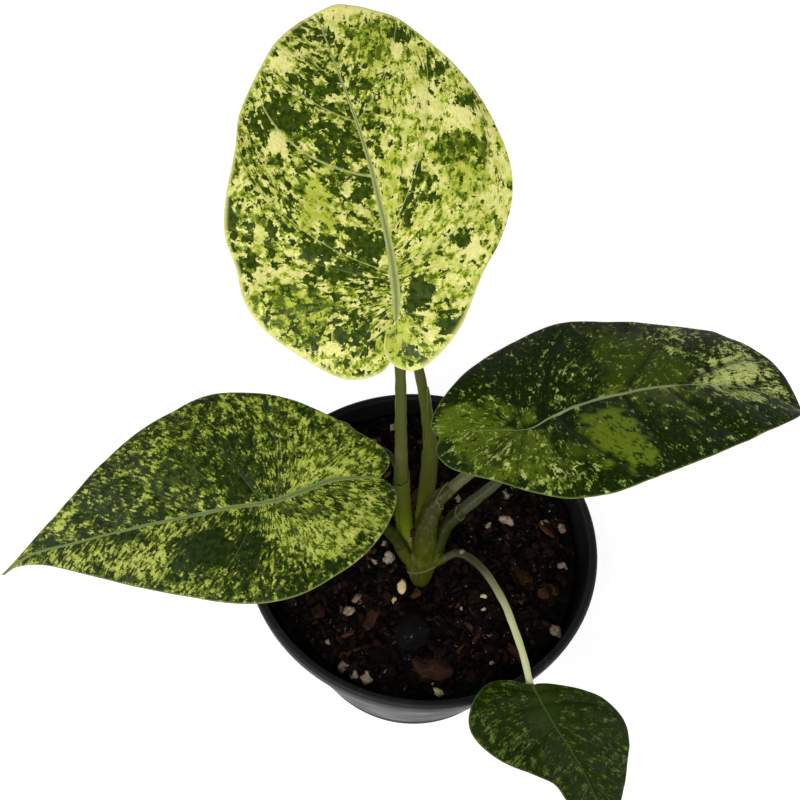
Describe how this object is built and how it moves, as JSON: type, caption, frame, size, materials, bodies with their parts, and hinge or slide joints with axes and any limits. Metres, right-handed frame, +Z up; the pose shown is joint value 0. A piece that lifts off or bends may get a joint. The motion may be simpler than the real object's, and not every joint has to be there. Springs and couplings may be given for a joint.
{
  "type": "potted alocasia",
  "caption": "Young variegated alocasia with heart-shaped leaves on arching stalks, growing from a crown in chunky soil in a round tapered nursery pot.",
  "frame": {"origin": "centre of the pot's flat underside", "axes": "+Z up out of the pot, -Y towards the plant's front, +X to its right as seen from the front"},
  "size_m": [0.2293, 0.184, 0.2029],
  "materials": {
    "pot": "thin black moulded plastic, satin",
    "soil": "moist dark bark and coir mix with perlite and pumice",
    "stalk": "smooth waxy stalk, olive at the base and grey-green above",
    "pale_leaf": "satin leaf, cream splashed with dark green",
    "mottled_leaf": "satin leaf, green speckled with yellow-green",
    "dark_leaf": "satin dark green leaf with faint pale flecks"
  },
  "bodies": {
    "root": {"pot": "pot", "soil": "soil", "crown": "stalk", "stalk_top": "stalk", "stalk_back": "stalk", "stalk_right": "stalk", "stalk_lower_right": "stalk", "stalk_left": "stalk", "stalk_small": "stalk", "stalk_inner": "stalk", "leaf_top": "pale_leaf", "leaf_back": "pale_leaf", "leaf_left": "mottled_leaf", "leaf_inner": "mottled_leaf", "leaf_right": "dark_leaf", "leaf_lower_right": "dark_leaf", "leaf_small": "dark_leaf"}
  },
  "joints": []
}
